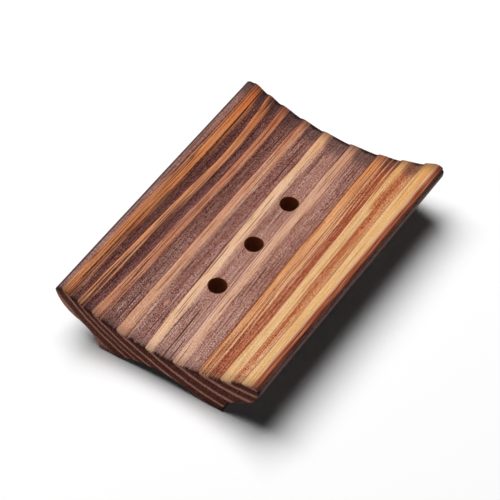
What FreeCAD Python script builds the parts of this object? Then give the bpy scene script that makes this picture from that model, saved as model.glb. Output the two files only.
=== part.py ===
import FreeCAD
import Part
import math
import os

# Soap dish cut from one block of brushed softwood, in mm.
# X runs across the dish, Y along the grain, Z up from the table.
LENGTH = 110.0
WIDTH = 80.0
RIM_HEIGHT = 22.2

# Trough that holds the soap, and the rims beside it
FLOOR_HEIGHT = 12.9
RIM_WIDTH = 3.6
RIM_ROUND = 2.2

# Flared sides: each is an ogee of two equal arcs that overhangs the foot, with its slope in
# degrees where it leaves the foot and where it meets the rim
OVERHANG = 15.5
OGEE_SLOPE = 79.0

# Two runners to stand on, and the channel between them that lets the water out
RUNNER_WIDTH = 8.0
CHANNEL_DEPTH = 4.0

# Drain holes on the centre line
HOLE_DIAMETER = 6.4
HOLE_PITCH = 21.0
HOLE_COUNT = 3

# Growth rings lie round the pith, which is above the block and outside it.
# Each year ends in hard latewood, which comes up in the trough as a light stripe. A stripe is
# given by its right and left edge, as shares of the way from the centre line to the lip.
PITH_FROM_RIGHT = 10.0
PITH_ABOVE_RIM = 51.3
STRIPES = [
    (1.000, 0.915),
    (0.780, 0.670),
    (0.550, 0.410),
    (0.230, 0.105),
    (-0.100, -0.200),
    (-0.310, -0.465),
    (-0.595, -0.660),
    (-0.765, -0.810),
    (-0.925, -0.980),
]

# The last year's latewood comes up under the left side instead, this thick at its belly
UNDERSIDE_LATEWOOD = 2.6

# Brushing wears the soft earlywood to a valley outside each year's latewood ridge,
# wherever the ring comes up in the trough clear of its lips
BRUSH_DEPTH = 0.8
RIDGE_INSET = 0.5
VALLEY_OFFSET = 0.5
LIP_MARGIN = 0.3

# Softened outer edges of the feet
FOOT_ROUND = 0.8

half = WIDTH / 2
foot = half - OVERHANG
channel = foot - RUNNER_WIDTH
lip = half - RIM_WIDTH
trough_depth = RIM_HEIGHT - FLOOR_HEIGHT
trough_radius = (lip ** 2 + trough_depth ** 2) / (2 * trough_depth)
pith_x = half - PITH_FROM_RIGHT
pith_z = PITH_ABOVE_RIM + RIM_HEIGHT


def at(x, z):
    """Point of the profile at the near end."""
    return FreeCAD.Vector(x, -LENGTH / 2, z)


def line(start, end):
    return Part.makeLine(start, end)


def arc(start, through, end):
    return Part.Arc(start, through, end).toShape()


def ring_through(x, z):
    """Radius of the growth ring through a point of the profile."""
    return math.hypot(x - pith_x, z - pith_z)


def ring_across(share):
    """Radius of the growth ring that comes up this share of the way to the lip."""
    x = share * lip
    return ring_through(x, FLOOR_HEIGHT + trough_radius - math.sqrt(trough_radius ** 2 - x ** 2))


def on_trough(ring_radius, depth):
    """Point at this depth under the trough where a growth ring comes up."""
    dx = -pith_x
    dz = FLOOR_HEIGHT + trough_radius - pith_z
    gap = math.hypot(dx, dz)
    along = (gap ** 2 + ring_radius ** 2 - trough_radius ** 2) / (2 * gap)
    across = math.sqrt(ring_radius ** 2 - along ** 2)
    x = pith_x + (along * dx - across * dz) / gap
    z = pith_z + (along * dz + across * dx) / gap
    return at(x, z - depth)


# Trough, from the right lip to the left: each ridge drops steeply to the valley outside it,
# and from there the wood rises gently to the next year's ridge
brushed = []
last_point = at(lip, RIM_HEIGHT)
last_ring = None
for right_edge, left_edge in STRIPES:
    ridge_ring = ring_across(left_edge) - RIDGE_INSET
    valley_ring = ring_across(left_edge) + VALLEY_OFFSET
    if ridge_ring < ring_across(1) + LIP_MARGIN or valley_ring > ring_across(-1) - LIP_MARGIN:
        continue
    ridge = on_trough(ridge_ring, 0)
    valley = on_trough(valley_ring, BRUSH_DEPTH)
    if last_ring is None:
        brushed.append(line(last_point, ridge))
    else:
        halfway = on_trough((last_ring + ridge_ring) / 2, BRUSH_DEPTH / 2)
        brushed.append(arc(last_point, halfway, ridge))
    brushed.append(line(ridge, valley))
    last_point = valley
    last_ring = valley_ring
brushed.append(line(last_point, at(-lip, RIM_HEIGHT)))

# Side: the ogee runs from the foot into the round of the rim without a crease
slope = math.radians(OGEE_SLOPE)
rim_x = half - RIM_ROUND
rim_z = RIM_HEIGHT - RIM_ROUND
top_x = rim_x + RIM_ROUND * math.sin(slope)
top_z = rim_z - RIM_ROUND * math.cos(slope)
mid_x = (foot + top_x) / 2
mid_z = top_z / 2
lean = math.atan2(mid_z, mid_x - foot)
sag = math.hypot(mid_x - foot, mid_z) / 2 * math.tan((slope - lean) / 2)
cove_x = (foot + mid_x) / 2 - sag * math.sin(lean)
cove_z = mid_z / 2 + sag * math.cos(lean)
belly_x = (mid_x + top_x) / 2 + sag * math.sin(lean)
belly_z = (mid_z + top_z) / 2 - sag * math.cos(lean)
bend = slope / 2
bend_x = rim_x + RIM_ROUND * math.cos(bend)
bend_z = rim_z + RIM_ROUND * math.sin(bend)

# Profile of the whole dish
outline = [
    line(at(channel, 0), at(foot, 0)),
    arc(at(foot, 0), at(cove_x, cove_z), at(mid_x, mid_z)),
    arc(at(mid_x, mid_z), at(belly_x, belly_z), at(top_x, top_z)),
    arc(at(top_x, top_z), at(bend_x, bend_z), at(rim_x, RIM_HEIGHT)),
    line(at(rim_x, RIM_HEIGHT), at(lip, RIM_HEIGHT)),
    *brushed,
    line(at(-lip, RIM_HEIGHT), at(-rim_x, RIM_HEIGHT)),
    arc(at(-rim_x, RIM_HEIGHT), at(-bend_x, bend_z), at(-top_x, top_z)),
    arc(at(-top_x, top_z), at(-belly_x, belly_z), at(-mid_x, mid_z)),
    arc(at(-mid_x, mid_z), at(-cove_x, cove_z), at(-foot, 0)),
    line(at(-foot, 0), at(-channel, 0)),
    arc(at(-channel, 0), at(0, CHANNEL_DEPTH), at(channel, 0)),
]
block = Part.Face(Part.Wire(outline)).extrude(FreeCAD.Vector(0, LENGTH, 0))

# The outer edges of the feet are softened
foot_edges = []
for edge in block.Edges:
    centre = edge.CenterOfMass
    if abs(abs(centre.x) - foot) < 1e-6 and abs(centre.z) < 1e-6:
        foot_edges.append(edge)
dish = block.makeFillet(FOOT_ROUND, foot_edges)

# Drain holes
for i in range(HOLE_COUNT):
    y = (i - (HOLE_COUNT - 1) / 2) * HOLE_PITCH
    drill = Part.makeCylinder(HOLE_DIAMETER / 2, RIM_HEIGHT, FreeCAD.Vector(0, y, 0))
    dish = dish.cut(drill)


def within(radius):
    """Everything inside a growth ring."""
    start = FreeCAD.Vector(pith_x, -LENGTH, pith_z)
    return Part.makeCylinder(radius, 2 * LENGTH, start, FreeCAD.Vector(0, 1, 0))


# Rings that bound the grown layers, from the pith outward: earlywood opens each year and
# latewood closes it. The first year's earlywood is outside the block.
layers = []
for year, (right_edge, left_edge) in enumerate(STRIPES, 1):
    if year > 1:
        layers.append(("earlywood_%02d" % year, ring_across(right_edge)))
    layers.append(("latewood_%02d" % year, ring_across(left_edge)))
last_year = len(STRIPES) + 1
layers.append(("earlywood_%02d" % last_year, ring_through(-belly_x, belly_z) - UNDERSIDE_LATEWOOD))
layers.append(("latewood_%02d" % last_year, pith_z + WIDTH))

os.makedirs("parts", exist_ok=True)
inner = PITH_ABOVE_RIM
for name, outer in layers:
    layer = dish.common(within(outer)).cut(within(inner))
    layer.exportStep("parts/%s.step" % name)
    inner = outer
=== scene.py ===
import math

import bmesh
import bpy
from mathutils import Matrix, Vector


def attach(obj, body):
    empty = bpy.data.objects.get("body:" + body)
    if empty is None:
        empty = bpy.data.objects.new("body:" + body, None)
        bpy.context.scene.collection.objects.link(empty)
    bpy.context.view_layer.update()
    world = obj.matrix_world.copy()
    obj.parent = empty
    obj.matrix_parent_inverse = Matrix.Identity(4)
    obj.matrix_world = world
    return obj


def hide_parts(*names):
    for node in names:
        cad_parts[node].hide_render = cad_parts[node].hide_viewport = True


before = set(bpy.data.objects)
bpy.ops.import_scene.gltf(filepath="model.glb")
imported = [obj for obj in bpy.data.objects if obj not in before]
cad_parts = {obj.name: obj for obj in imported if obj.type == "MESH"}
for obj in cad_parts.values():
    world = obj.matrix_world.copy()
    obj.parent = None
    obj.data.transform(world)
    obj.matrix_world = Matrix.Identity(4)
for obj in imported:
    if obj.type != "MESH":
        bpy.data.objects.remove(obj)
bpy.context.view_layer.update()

# The dish is one block of softwood, cut to its profile along the grain and drilled for the water.
# It is then flamed and brushed: the soft dark earlywood wears back, and the hard light latewood
# of each year is left standing as a ridge. Nothing is glued or screwed on.

# Sizes of the block in millimetres, with X across, Y along the grain and Z up
length = 110.0
width = 80.0
rim_height = 22.2
floor_height = 12.9
rim_width = 3.6
rim_round = 2.2
overhang = 15.5
ogee_slope = math.radians(79)
runner_width = 8.0
channel_depth = 4.0
foot_round = 0.9
end_round = 0.6
half = width / 2
foot = half - overhang
channel = foot - runner_width
lip = half - rim_width
near_end = -length / 2

trough_depth = rim_height - floor_height
trough_radius = (lip ** 2 + trough_depth ** 2) / (2 * trough_depth)
trough_centre = floor_height + trough_radius
channel_radius = (channel ** 2 + channel_depth ** 2) / (2 * channel_depth)

# The side is an ogee of two equal arcs between the foot and the round of the rim
rim_x = half - rim_round
rim_z = rim_height - rim_round
top_x = rim_x + rim_round * math.sin(ogee_slope)
top_z = rim_z - rim_round * math.cos(ogee_slope)
mid_x = (foot + top_x) / 2
mid_z = top_z / 2
ogee_lean = math.atan2(mid_z, mid_x - foot)
ogee_turn = 2 * (ogee_slope - ogee_lean)
ogee_radius = math.hypot(mid_x - foot, mid_z) / (2 * math.sin(ogee_turn / 2))
belly_x = top_x - ogee_radius * math.sin(ogee_slope)
belly_z = top_z + ogee_radius * math.cos(ogee_slope)

block = bmesh.new()


def sweep(vertex, centre_x, centre_z, angle, steps):
    """Carries the end of the profile round an arc and returns the new end."""
    swept = bmesh.ops.spin(
        block,
        geom=[vertex],
        cent=(centre_x, near_end, centre_z),
        axis=(0, 1, 0),
        angle=angle,
        steps=steps,
    )
    return [g for g in swept["geom_last"] if isinstance(g, bmesh.types.BMVert)][0]


def reach(vertex, across, steps):
    """Carries the end of the profile straight across and returns the new end."""
    for _ in range(steps):
        drawn = bmesh.ops.extrude_vert_indiv(block, verts=[vertex])
        vertex = drawn["verts"][0]
        bmesh.ops.translate(block, verts=[vertex], vec=(across / steps, 0, 0))
    return vertex


# Right half of the profile, from the middle of the trough over the rim and down to the channel,
# in steps fine enough for the brushing
trough_steps = 120
rim_steps = 5
round_steps = 12
ogee_steps = 26
foot_steps = 12
channel_steps = 34
trough_turn = math.asin(lip / trough_radius)
channel_turn = math.asin(channel / channel_radius)
cove_x = 2 * mid_x - belly_x
cove_z = 2 * mid_z - belly_z
end = block.verts.new((0, near_end, floor_height))
end = sweep(end, 0, trough_centre, -trough_turn, trough_steps)
end = reach(end, rim_x - lip, rim_steps)
end = sweep(end, rim_x, rim_z, math.pi - ogee_slope, round_steps)
end = sweep(end, belly_x, belly_z, ogee_turn, ogee_steps)
end = sweep(end, cove_x, cove_z, -ogee_turn, ogee_steps)
end = reach(end, channel - foot, foot_steps)
end = sweep(end, 0, channel_depth - channel_radius, -channel_turn, channel_steps)

# The left half mirrors it, and the closed profile is drawn out along the grain
bmesh.ops.mirror(block, geom=block.verts[:] + block.edges[:], axis="X", merge_dist=0.01)
profile = block.edges[:]
drawn = bmesh.ops.extrude_edge_only(block, edges=profile)
far_verts = [g for g in drawn["geom"] if isinstance(g, bmesh.types.BMVert)]
far_edges = [g for g in drawn["geom"] if isinstance(g, bmesh.types.BMEdge)]
bmesh.ops.translate(block, verts=far_verts, vec=(0, length, 0))
far_profile = [e for e in far_edges if e.calc_length() < length / 2]
bmesh.ops.edgeloop_fill(block, edges=profile)
bmesh.ops.edgeloop_fill(block, edges=far_profile)
bmesh.ops.recalc_face_normals(block, faces=block.faces)


def soften(edges, offset):
    """Rounds edges of the block over."""
    bmesh.ops.bevel(
        block,
        geom=edges,
        affect="EDGES",
        offset=offset,
        segments=3,
        profile=0.5,
        material=-1,
    )


# The feet's long edges and all edges of both ends are softened
touching = 1e-4
foot_edges = []
for e in block.edges:
    x, y, z = e.verts[0].co
    from_edge = min(abs(abs(x) - foot), abs(abs(x) - channel))
    if e.calc_length() > length / 2 and abs(z) < touching and from_edge < touching:
        foot_edges.append(e)
soften(foot_edges, foot_round)
end_edges = [e for e in block.edges if abs(e.verts[0].co.y - e.verts[1].co.y) < touching]
soften(end_edges, end_round)

# The long faces are divided along the grain, so that the brushing can follow it
rows_along = 107
long_edges = [e for e in block.edges if e.calc_length() > length / 2]
bmesh.ops.subdivide_edges(block, edges=long_edges, cuts=rows_along, use_grid_fill=True)

# Growth rings lie round the pith, above the block on its right. Each year's latewood comes up in
# the trough between two places across it, given here halfway along the dish
pith_from_right = 10.0
pith_above_rim = 51.3
pith_x = half - pith_from_right
pith_z = rim_height + pith_above_rim
stripes = [
    (39.0, 32.9),
    (27.9, 24.2),
    (19.1, 15.0),
    (7.9, 3.8),
    (-3.6, -7.3),
    (-13.3, -16.6),
    (-21.7, -24.4),
    (-28.0, -29.8),
    (-33.4, -36.2),
]

# The last year's latewood comes up under the left side instead, between these two rings
last_latewood = (86.0, 90.4)

# The tree wasn't quite straight, so the grain has gentle bulges. Each has its size, its place
# across and along the dish, and how wide and long it is. Sideways ones come first, and then
# those on the right, where the rings lie flat and only dip or rise
side_bulges = [
    (0.7, -28, 24, 7, 26),
    (-0.5, -29, 60, 6, 22),
    (-0.6, -27, -58, 8, 30),
    (-0.75, -27, 60, 14, 26),
    (-1.4, 23, 45, 9, 30),
    (-0.5, 22, -8, 9, 16),
]
dips = [
    (0.35, 29, -25, 10, 22),
    (-0.6, 27, 36, 9, 26),
]


def swells(x, y, bulges):
    """What the bulges add up to at a place."""
    total = 0
    for size, at_x, at_y, wide, long in bulges:
        across = (x - at_x) / wide
        along = (y - at_y) / long
        spread = 1 + across * across + along * along
        total = total + size / (spread * spread)
    return total


def drift(x, y):
    """How far the grain has wandered sideways at a place, most of all in the middle."""
    middle_x = 3
    middle_width = 15
    towards_near = y / near_end
    middle = (x - middle_x) / middle_width
    middle = 1 / (1 + middle * middle * middle * middle)
    lean = x / 60 + 1.6 * middle
    bow = 0.7 * middle
    return towards_near * (lean + towards_near * bow) + swells(x, y, side_bulges)


def growth(x, y, z):
    """Radius of the growth ring at a point."""
    dx = x - drift(x, y) - pith_x
    dz = z - pith_z
    return (dx * dx + dz * dz) ** 0.5 + swells(x, y, dips)


def ring_at(x):
    """Radius of the ring that comes up here in the trough."""
    z = trough_centre - math.sqrt(trough_radius ** 2 - x ** 2)
    return math.hypot(x - pith_x, z - pith_z)


rings = [(ring_at(right), ring_at(left)) for right, left in stripes] + [last_latewood]


def limited(share):
    """Keeps a share between 0 and 1."""
    return min(max(share, 0), 1)


def smooth(share):
    """Eases from 0 to 1."""
    share = limited(share)
    return share * share * (3 - 2 * share)


def wear(radius):
    """How far brushing has worn the wood at a ring: 1 just outside a year's latewood, 0 on it."""
    first_earlywood = 2.0
    crest_lead = 0.1
    drop = 0.5
    last_end = rings[0][0] - first_earlywood
    for _, latewood_end in rings:
        crest = latewood_end - crest_lead
        if radius < latewood_end + drop:
            if radius > crest:
                return smooth((radius - crest) / (drop + crest_lead))
            return smooth((crest - radius) / (latewood_end - last_end - drop))
        last_end = latewood_end
    return 0.5


# Brushing: deep in the trough, lighter on the sides and below, and none on the feet. Fine ridges
# run along with the rings
trough_wear = 0.65
side_wear = 0.3
unworn_height = 1.0
worn_height = 3.0
block.normal_update()
worn = []
for v in block.verts:
    x, y, z = v.co
    outward = Vector((v.normal.x, 0, v.normal.z))
    faces_end = outward.length < 0.05
    if faces_end:
        continue
    outward.normalize()
    depth = side_wear + (trough_wear - side_wear) * limited(outward.z * 2)
    depth = depth * limited((z - unworn_height) / (worn_height - unworn_height))
    radius = growth(x, y, z)
    fine_ridges = 0.04 * math.sin(radius * 7.3) + 0.03 * math.sin(radius * 11.9 + 1)
    amount = max(depth * (wear(radius) + fine_ridges), 0)
    worn.append((v, outward * amount))
for v, move in worn:
    v.co -= move

# Three holes are drilled through to the channel, with the lips just broken. The drill's corners
# have a radius and a height each, from within the channel up into the trough
hole_radius = 3.2
hole_pitch = 21.0
drill_sides = 56
drill_bottom = 1.0
drill_top = 16.5
drill_corners = [
    (4.6, drill_bottom),
    (hole_radius, 4.2),
    (hole_radius, 12.3),
    (5.0, drill_top),
    (0, drill_top),
]
drill = bmesh.new()
tip = drill.verts.new((0, 0, drill_bottom))
for corner_radius, height in drill_corners:
    cut = bmesh.ops.extrude_vert_indiv(drill, verts=[tip])
    tip = cut["verts"][0]
    tip.co = (corner_radius, 0, height)
bmesh.ops.spin(
    drill,
    geom=drill.verts[:] + drill.edges[:],
    cent=(0, 0, 0),
    axis=(0, 0, 1),
    angle=2 * math.pi,
    steps=drill_sides,
    use_merge=True,
)
bmesh.ops.remove_doubles(drill, verts=drill.verts, dist=touching)
bmesh.ops.recalc_face_normals(drill, faces=drill.faces)
one_drill = drill.verts[:] + drill.edges[:] + drill.faces[:]
for y in (-hole_pitch, hole_pitch):
    copied = bmesh.ops.duplicate(drill, geom=one_drill)
    moved = [g for g in copied["geom"] if isinstance(g, bmesh.types.BMVert)]
    bmesh.ops.translate(drill, verts=moved, vec=(0, y, 0))


def place(shape, name):
    """Turns a shape drawn in millimetres into an object in metres."""
    millimetre = 0.001
    bmesh.ops.scale(shape, verts=shape.verts, vec=(millimetre, millimetre, millimetre))
    mesh = bpy.data.meshes.new(name)
    shape.to_mesh(mesh)
    shape.free()
    piece = bpy.data.objects.new(name, mesh)
    bpy.context.scene.collection.objects.link(piece)
    return piece


dish = place(block, "dish")
drills = place(drill, "drills")
drilling = dish.modifiers.new("drilling", "BOOLEAN")
drilling.operation = "DIFFERENCE"
drilling.solver = "EXACT"
drilling.object = drills
bpy.context.view_layer.update()
drilled = bpy.data.meshes.new_from_object(dish.evaluated_get(bpy.context.evaluated_depsgraph_get()))
dish.modifiers.clear()
dish.data = drilled
bpy.data.objects.remove(drills)

# Slivers that the drill left are closed up, and only real edges stay sharp
sliver = 0.000004
sharp_angle = math.radians(38)
cleaned = bmesh.new()
cleaned.from_mesh(drilled)
bmesh.ops.remove_doubles(cleaned, verts=cleaned.verts, dist=sliver)
cleaned.to_mesh(drilled)
cleaned.free()
drilled.shade_smooth()
drilled.set_sharp_from_angle(angle=sharp_angle)


class Signal:
    """A value in a shader. Sums on it add Math nodes."""

    def __init__(self, socket):
        self.socket = socket

    def make(self, kind, settings, sockets, output=0):
        """Adds a node of any kind, with its settings first and then its sockets."""
        tree = self.socket.id_data
        node = tree.nodes.new(kind)
        for name, value in settings.items():
            if name == "stops":
                ramp = node.color_ramp
                while len(ramp.elements) < len(value):
                    ramp.elements.new(1)
                for element, (position, colour) in zip(ramp.elements, value):
                    element.position = position
                    element.color = colour
            else:
                setattr(node, name, value)
        for name, value in sockets.items():
            if isinstance(value, Signal):
                tree.links.new(value.socket, node.inputs[name])
            else:
                node.inputs[name].default_value = value
        return Signal(node.outputs[output])

    def sum(self, operation, a, b):
        return self.make("ShaderNodeMath", {"operation": operation}, {0: a, 1: b})

    def __add__(self, other):
        return self.sum("ADD", self, other)

    def __radd__(self, other):
        return self.sum("ADD", other, self)

    def __sub__(self, other):
        return self.sum("SUBTRACT", self, other)

    def __rsub__(self, other):
        return self.sum("SUBTRACT", other, self)

    def __mul__(self, other):
        return self.sum("MULTIPLY", self, other)

    def __rmul__(self, other):
        return self.sum("MULTIPLY", other, self)

    def __truediv__(self, other):
        return self.sum("DIVIDE", self, other)

    def __rtruediv__(self, other):
        return self.sum("DIVIDE", other, self)

    def __pow__(self, other):
        return self.sum("POWER", self, other)

    def most(self, other):
        """The larger of two values."""
        return self.sum("MAXIMUM", self, other)

    def ramp(self, start, end):
        """Rises smoothly from 0 at start to 1 at end, or falls where end is below start."""
        low, high = min(start, end), max(start, end)
        first, last = (0, 1) if end > start else (1, 0)
        limits = {"From Min": low, "From Max": high, "To Min": first, "To Max": last}
        return self.make(
            "ShaderNodeMapRange", {"interpolation_type": "SMOOTHSTEP"}, {"Value": self, **limits}
        )

    def noise(self, stretch, detail=2, roughness=0.5):
        """Noise on a vector in millimetres, with this many waves to a millimetre each way."""
        spread = self.make("ShaderNodeMapping", {}, {"Vector": self, "Scale": stretch})
        sockets = {"Vector": spread, "Scale": 1, "Detail": detail, "Roughness": roughness}
        return self.make("ShaderNodeTexNoise", {}, sockets)

    def blend(self, a, b, mode="MIX"):
        """Colour a turning to colour b as this goes from 0 to 1."""
        settings = {"data_type": "RGBA", "blend_type": mode}
        return self.make("ShaderNodeMix", settings, {0: self, 6: a, 7: b}, 2)


def tint(red, green, blue):
    """A colour as a paint chart gives it, turned into light."""
    levels = [c / 255 for c in (red, green, blue)]
    return [c / 12.92 if c <= 0.04045 else ((c + 0.055) / 1.055) ** 2.4 for c in levels] + [1]


# Flamed and brushed softwood: its colours go by growth ring, so they run through the whole block
wood = bpy.data.materials.new("flamed_softwood")
wood.use_nodes = True
shader = wood.node_tree.nodes["Principled BSDF"]
coordinates = wood.node_tree.nodes.new("ShaderNodeTexCoord")
metres = Signal(coordinates.outputs["Object"])
block_mm = metres.make("ShaderNodeVectorMath", {"operation": "SCALE"}, {0: metres, "Scale": 1000})
split = wood.node_tree.nodes.new("ShaderNodeSeparateXYZ")
wood.node_tree.links.new(block_mm.socket, split.inputs[0])
x, y, z = [Signal(s) for s in split.outputs]
across = x - drift(x, y)

# The fibres follow the rings, and let the ring edges waver a little
grain = x.make("ShaderNodeCombineXYZ", {}, {0: across, 1: y, 2: z})
wander = grain.noise((0.25, 0.03, 0.25))
streak = grain.noise((1.1, 0.012, 1.1), 3, 0.65)
line = grain.noise((2.2, 0.015, 2.2), 2)
fibre = grain.noise((4.5, 0.08, 4.5), 2, 0.6)
speckle = block_mm.noise((3.0, 2.0, 3.0), 1)
ring = growth(x, y, z) + (wander - 0.5) * 0.6
right_side = x.ramp(6, 24)

# Light latewood starts softly and ends at a sharp edge, with a dark line along it. The line is
# partly the wood's own and partly painted shade on the steep brushed step beside it
soft_ring = ring + (streak - 0.5) * (0.6 + right_side * 0.9)
sharp_ring = ring + (fibre - 0.5) * 0.2
light = 0
core = 0
edge_line_and_shade = 0
for latewood_start, latewood_end in rings:
    thick = latewood_end - latewood_start
    fade = 0.3 * thick
    sharp_end = sharp_ring.ramp(latewood_end + 0.06, latewood_end - 0.06)
    light = light + soft_ring.ramp(latewood_start - fade, latewood_start + 1.8 * fade) * sharp_end
    core = core + ring.ramp(latewood_end - 0.95 * thick, latewood_end - 0.6 * thick) * sharp_end
    edge_line_and_shade = edge_line_and_shade + (1 - sharp_end) * sharp_ring.ramp(latewood_end + 0.4, latewood_end + 0.15)

# Thin lines of each kind of wood run through the other, most of all right of the holes and on
# the far left
right_lines = x.ramp(8, 14) * x.ramp(26, 22)
left_lines = x.ramp(-12, -20)
beside_rim = x.ramp(26.5, 28) * x.ramp(36, 33)
lined = 1.6 + right_lines * 2.8 + left_lines * 2.4 - beside_rim * 0.6
lined = lined * (light.most(right_side * 0.75) * 0.7 + 0.3)
latewood = (light * 0.8 + 0.08 + (line - 0.5) * lined).ramp(0.2, 0.8)

# Tones of the two kinds of wood by ring, from the right rim outward to the left side. In the middle
# of the trough and towards the left rim they hold painted sheen as well as the wood's colour:
# greyer and paler there, standing in for the softbox's reflection
pale = [
    (51.9, tint(223, 177, 121)),
    (56.1, tint(222, 179, 127)),
    (59.2, tint(228, 174, 126)),
    (60.8, tint(213, 148, 95)),
    (65.0, tint(207, 160, 133)),
    (70.0, tint(231, 187, 150)),
    (74.2, tint(210, 154, 122)),
    (77.9, tint(201, 133, 99)),
    (80.5, tint(221, 151, 107)),
    (83.1, tint(238, 152, 92)),
    (85.0, tint(154, 112, 100)),
    (88.6, tint(140, 98, 82)),
]
dark = [
    (51.8, tint(112, 40, 21)),
    (53.3, tint(203, 149, 106)),
    (54.5, tint(198, 140, 96)),
    (54.9, tint(180, 108, 66)),
    (55.6, tint(170, 95, 56)),
    (58.1, tint(155, 77, 47)),
    (61.6, tint(134, 74, 54)),
    (62.4, tint(149, 103, 91)),
    (63.7, tint(167, 121, 107)),
    (67.5, tint(171, 126, 112)),
    (72.2, tint(153, 106, 95)),
    (76.2, tint(130, 85, 74)),
    (79.3, tint(100, 58, 56)),
    (81.8, tint(86, 42, 39)),
    (84.5, tint(139, 97, 86)),
]


def tones(value, stops):
    """Colours that follow a value, from the first stop to the last."""
    first, last = stops[0][0], stops[-1][0]
    spread = [((stop - first) / (last - first), colour) for stop, colour in stops]
    share = (value - first) / (last - first)
    return share.make("ShaderNodeValToRGB", {"stops": spread}, {"Fac": share})


def stained(colour, density):
    """A colour with more or less of its own stain in it."""
    return density.make("ShaderNodeGamma", {}, {"Color": colour, "Gamma": density})


edge_line_and_shade_tone = tint(96, 40, 25)
left_rim_sheen_tone = tint(146, 105, 94)
# The ring tones include painted sheen in the middle of the trough and towards the left rim
wood_colour = latewood.blend(tones(ring, dark), tones(ring, pale))
# Dark line at each latewood edge: partly the wood's own colour, partly painted shade on the brushed
# step
wood_colour = (edge_line_and_shade * 0.8).blend(wood_colour, edge_line_and_shade_tone)
# The left rim's flat land turns grey-pink: dark earlywood with a painted sheen on it
wood_colour = x.ramp(-36.2, -36.6).blend(wood_colour, left_rim_sheen_tone)

# Fibres and fine specks take up more or less of the stain, and the far end has more of it
specks = (speckle.ramp(0.22, 0.6) - 0.82) * (1.3 - latewood * 0.5)
texture = streak - 0.5 + (fibre - 0.5) * (1.6 + latewood * 0.6) + specks
shade = (y * 0.0016 - (wander - 0.5) * 0.3) * (1 - latewood * 0.7)
shade = shade + y.ramp(25, 55) * latewood * 0.3
take_up = 0.9 - latewood * 0.2 - x.ramp(-18, -26) * 0.25
wood_colour = stained(wood_colour, 1 + shade - texture * take_up)

# On the left the brush has bared lighter specks in the dark earlywood
bared_tone = tint(152, 108, 92)
bared = speckle.ramp(0.52, 0.68) * x.ramp(-16, -24) * (1 - latewood)
wood_colour = (bared * 0.4).blend(wood_colour, bared_tone)

# Resin canals opened by the brush are short dark lines along the grain
pores = grain.noise((2.2, 0.035, 2.2), 1).ramp(0.61, 0.65)
pore_tone = right_side.blend(tint(66, 28, 17), tint(128, 60, 26))
wood_colour = (pores * (0.85 - right_side * 0.5)).blend(wood_colour, pore_tone)

# One small pale knot in the trough, towards the near end
knot_x, knot_width = -9.7, 0.7
knot_y, knot_length = -36, 1.6
knot_tone = tint(214, 152, 116)
knot_across = (x - knot_x) / knot_width
knot_along = (y - knot_y) / knot_length
from_knot = knot_across * knot_across + knot_along * knot_along + (speckle - 0.5) * 2
knot = from_knot.ramp(1.0, 0.3) * z.ramp(11, 12)
wood_colour = (knot * 0.6).blend(wood_colour, knot_tone)

# The flame has reddened the right rim in bands that follow its round
rim_turn = x - z - (rim_x - rim_z) + (fibre - 0.5) * 0.3
rim_stops = [
    (-2.8, tint(220, 168, 128)),
    (-2.4, tint(194, 132, 98)),
    (-1.7, tint(116, 46, 23)),
    (-0.95, tint(180, 96, 58)),
    (-0.1, tint(84, 30, 15)),
    (0.6, tint(102, 62, 52)),
]
rim_tone = stained(tones(rim_turn - y * 0.006, rim_stops), 1 - (fibre - 0.5) * 2.4)
wood_colour = rim_turn.ramp(-3.0, -2.6).blend(wood_colour, rim_tone)

# It has charred both sides and the underside, and blackened the left rim's outer arris
arris_tone = tint(44, 26, 22)
left_turn = (rim_z - rim_x) - x - z
side_char = rim_turn.ramp(0.4, 0.6).most(left_turn.ramp(-0.1, 0.4)).most(z.ramp(12.0, 11.6))
char_tone = z.ramp(14, 19).blend(tint(68, 48, 46), tint(102, 69, 62))
char_tone = stained(char_tone, 1 - latewood * 0.1 - texture * 0.7)
wood_colour = (side_char * 0.9).blend(wood_colour, char_tone)
left_arris = left_turn.ramp(-1.1, -0.6) * left_turn.ramp(2.4, 1.4)
wood_colour = (left_arris * 0.85).blend(wood_colour, arris_tone)

# Both ends are scorched, the far end further in. Hard latewood burns less
burnt_tone = tint(58, 38, 39)
singed_tone = tint(42, 25, 22)
from_middle = (y * y) ** 0.5
far = y.ramp(10, 45)
scorch = from_middle + (streak - 0.5) * 3.0 + (speckle - 0.5) * 2.0
scorch = scorch - latewood * (1.4 + far * 3.0)
burnt = (scorch + far * 3.5).ramp(48.5, 54.5) * (0.5 + far * 0.15)
wood_colour = burnt.blend(wood_colour, burnt_tone)
singed = (scorch + far * 0.5).ramp(53.6, 54.7)
wood_colour = singed.blend(wood_colour, singed_tone)

# The sawn ends are dark, with each year's latewood as a lighter line, and darker at the feet
sawn = from_middle.ramp(54.9, 54.97)
end_colour = core.blend(tint(78, 32, 22), tint(160, 104, 84))
end_colour = (z.ramp(3.5, 0.8) * 0.6).blend(end_colour, tint(44, 27, 24))
wood_colour = sawn.blend(wood_colour, stained(end_colour, 1 - texture * 0.9))

# The drilled walls are plain brown
bore_tone = tint(138, 80, 44)
turns = y / hole_pitch
from_hole = y - turns.make("ShaderNodeMath", {"operation": "ROUND"}, {0: turns}) * hole_pitch
bore = (x * x + from_hole * from_hole).ramp(12.0, 10.6) * from_middle.ramp(30, 28)
wood_colour = bore.blend(wood_colour, bore_tone)
wood.node_tree.links.new(wood_colour.socket, shader.inputs["Base Color"])

# Dry and matt, a little smoother on latewood and rougher where it is singed, with raised fibres
roughness = 0.58 - latewood * 0.08 + (fibre - 0.5) * 0.25 + singed * 0.3
wood.node_tree.links.new(roughness.socket, shader.inputs["Roughness"])
shader.inputs["Specular IOR Level"].default_value = 0.1
raised = {"Height": texture, "Strength": 0.6, "Distance": 0.0001}
bump = texture.make("ShaderNodeBump", {}, raised)
wood.node_tree.links.new(bump.socket, shader.inputs["Normal"])

drilled.materials.clear()
drilled.materials.append(wood)
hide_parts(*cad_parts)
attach(dish, "root")

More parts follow.
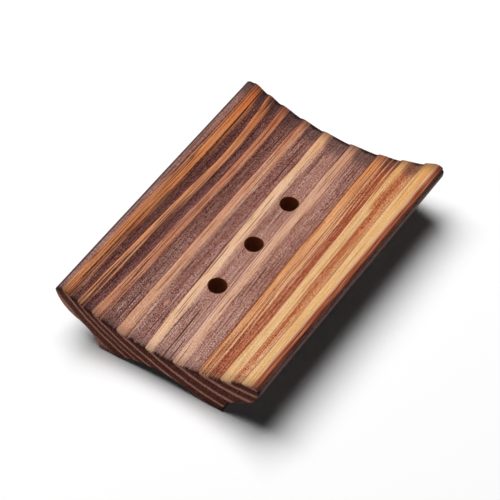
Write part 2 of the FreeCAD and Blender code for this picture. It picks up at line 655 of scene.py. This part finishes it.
# A plain white sheet of paper to stand on, laid flat. It is part of the stage. A very faint cool
# glow in it keeps the core of the shadow grey, where light off the wood would turn it brown.
floor_reach = 3000
sheet = bmesh.new()
bmesh.ops.create_grid(sheet, x_segments=1, y_segments=1, size=floor_reach)
floor = place(sheet, "floor")
paper = bpy.data.materials.new("white_paper")
paper.use_nodes = True
paper_shader = paper.node_tree.nodes["Principled BSDF"]
paper_shader.inputs["Base Color"].default_value = (1, 0.997, 0.9965, 1)
paper_shader.inputs["Roughness"].default_value = 1
paper_shader.inputs["Specular IOR Level"].default_value = 0
paper_shader.inputs["Emission Color"].default_value = (0.005, 0.008, 0.0085, 1)
paper_shader.inputs["Emission Strength"].default_value = 1
floor.data.materials.append(paper)

# One large square softbox hangs above, behind and to the left, and is aimed at the dish. The room
# is white wherever it is seen, but gives little light, so the shadow stays dark.
softbox_side = 1.45
softbox = bpy.data.lights.new("softbox", "AREA")
softbox.shape = "RECTANGLE"
softbox.size = softbox_side
softbox.size_y = softbox_side
softbox.energy = 47
softbox_lamp = bpy.data.objects.new("softbox", softbox)
bpy.context.scene.collection.objects.link(softbox_lamp)
softbox_lamp.location = Vector((-0.62, 0.29, 1.80))
aim = Vector((0, 0, 0.01)) - softbox_lamp.location
softbox_lamp.rotation_euler = aim.to_track_quat("-Z", "Y").to_euler()

room = bpy.data.worlds.new("room")
room.use_nodes = True
background = room.node_tree.nodes["Background"]
background.inputs["Color"].default_value = (1, 1, 1, 1)
rays = Signal(room.node_tree.nodes.new("ShaderNodeLightPath").outputs["Is Camera Ray"])
seen = rays
for kind in ("Is Glossy Ray", "Is Transmission Ray"):
    seen = seen.most(Signal(rays.socket.node.outputs[kind]))
room_light = 0.006
brightness = room_light + seen * (1 - room_light)
room.node_tree.links.new(brightness.socket, background.inputs["Strength"])
bpy.context.scene.world = room

# The camera has a long lens and looks down on the near end from the right. It is turned a little
# about its own line of sight, and shifted to the photograph's framing.
azimuth = math.radians(37.696)
elevation = math.radians(49.152)
roll = math.radians(-4.412)
camera_distance = 0.766447
camera_target = Vector((0, 0, 0.010))
back = Vector(
    (
        math.sin(azimuth) * math.cos(elevation),
        -math.cos(azimuth) * math.cos(elevation),
        math.sin(elevation),
    )
)
level = (-back).cross(Vector((0, 0, 1))).normalized()
upright = level.cross(-back)
right = math.cos(roll) * level + math.sin(roll) * upright
up = math.cos(roll) * upright - math.sin(roll) * level
lens = bpy.data.cameras.new("camera")
lens.sensor_width = 36
lens.lens = 166.69
lens.shift_x = -0.00889
lens.shift_y = -0.00167
camera = bpy.data.objects.new("camera", lens)
bpy.context.scene.collection.objects.link(camera)
camera_place = camera_target + back * camera_distance
axes = Matrix((right, up, back)).transposed().to_4x4()
camera.matrix_world = Matrix.Translation(camera_place) @ axes
bpy.context.scene.camera = camera
bpy.context.scene.view_settings.view_transform = "Standard"
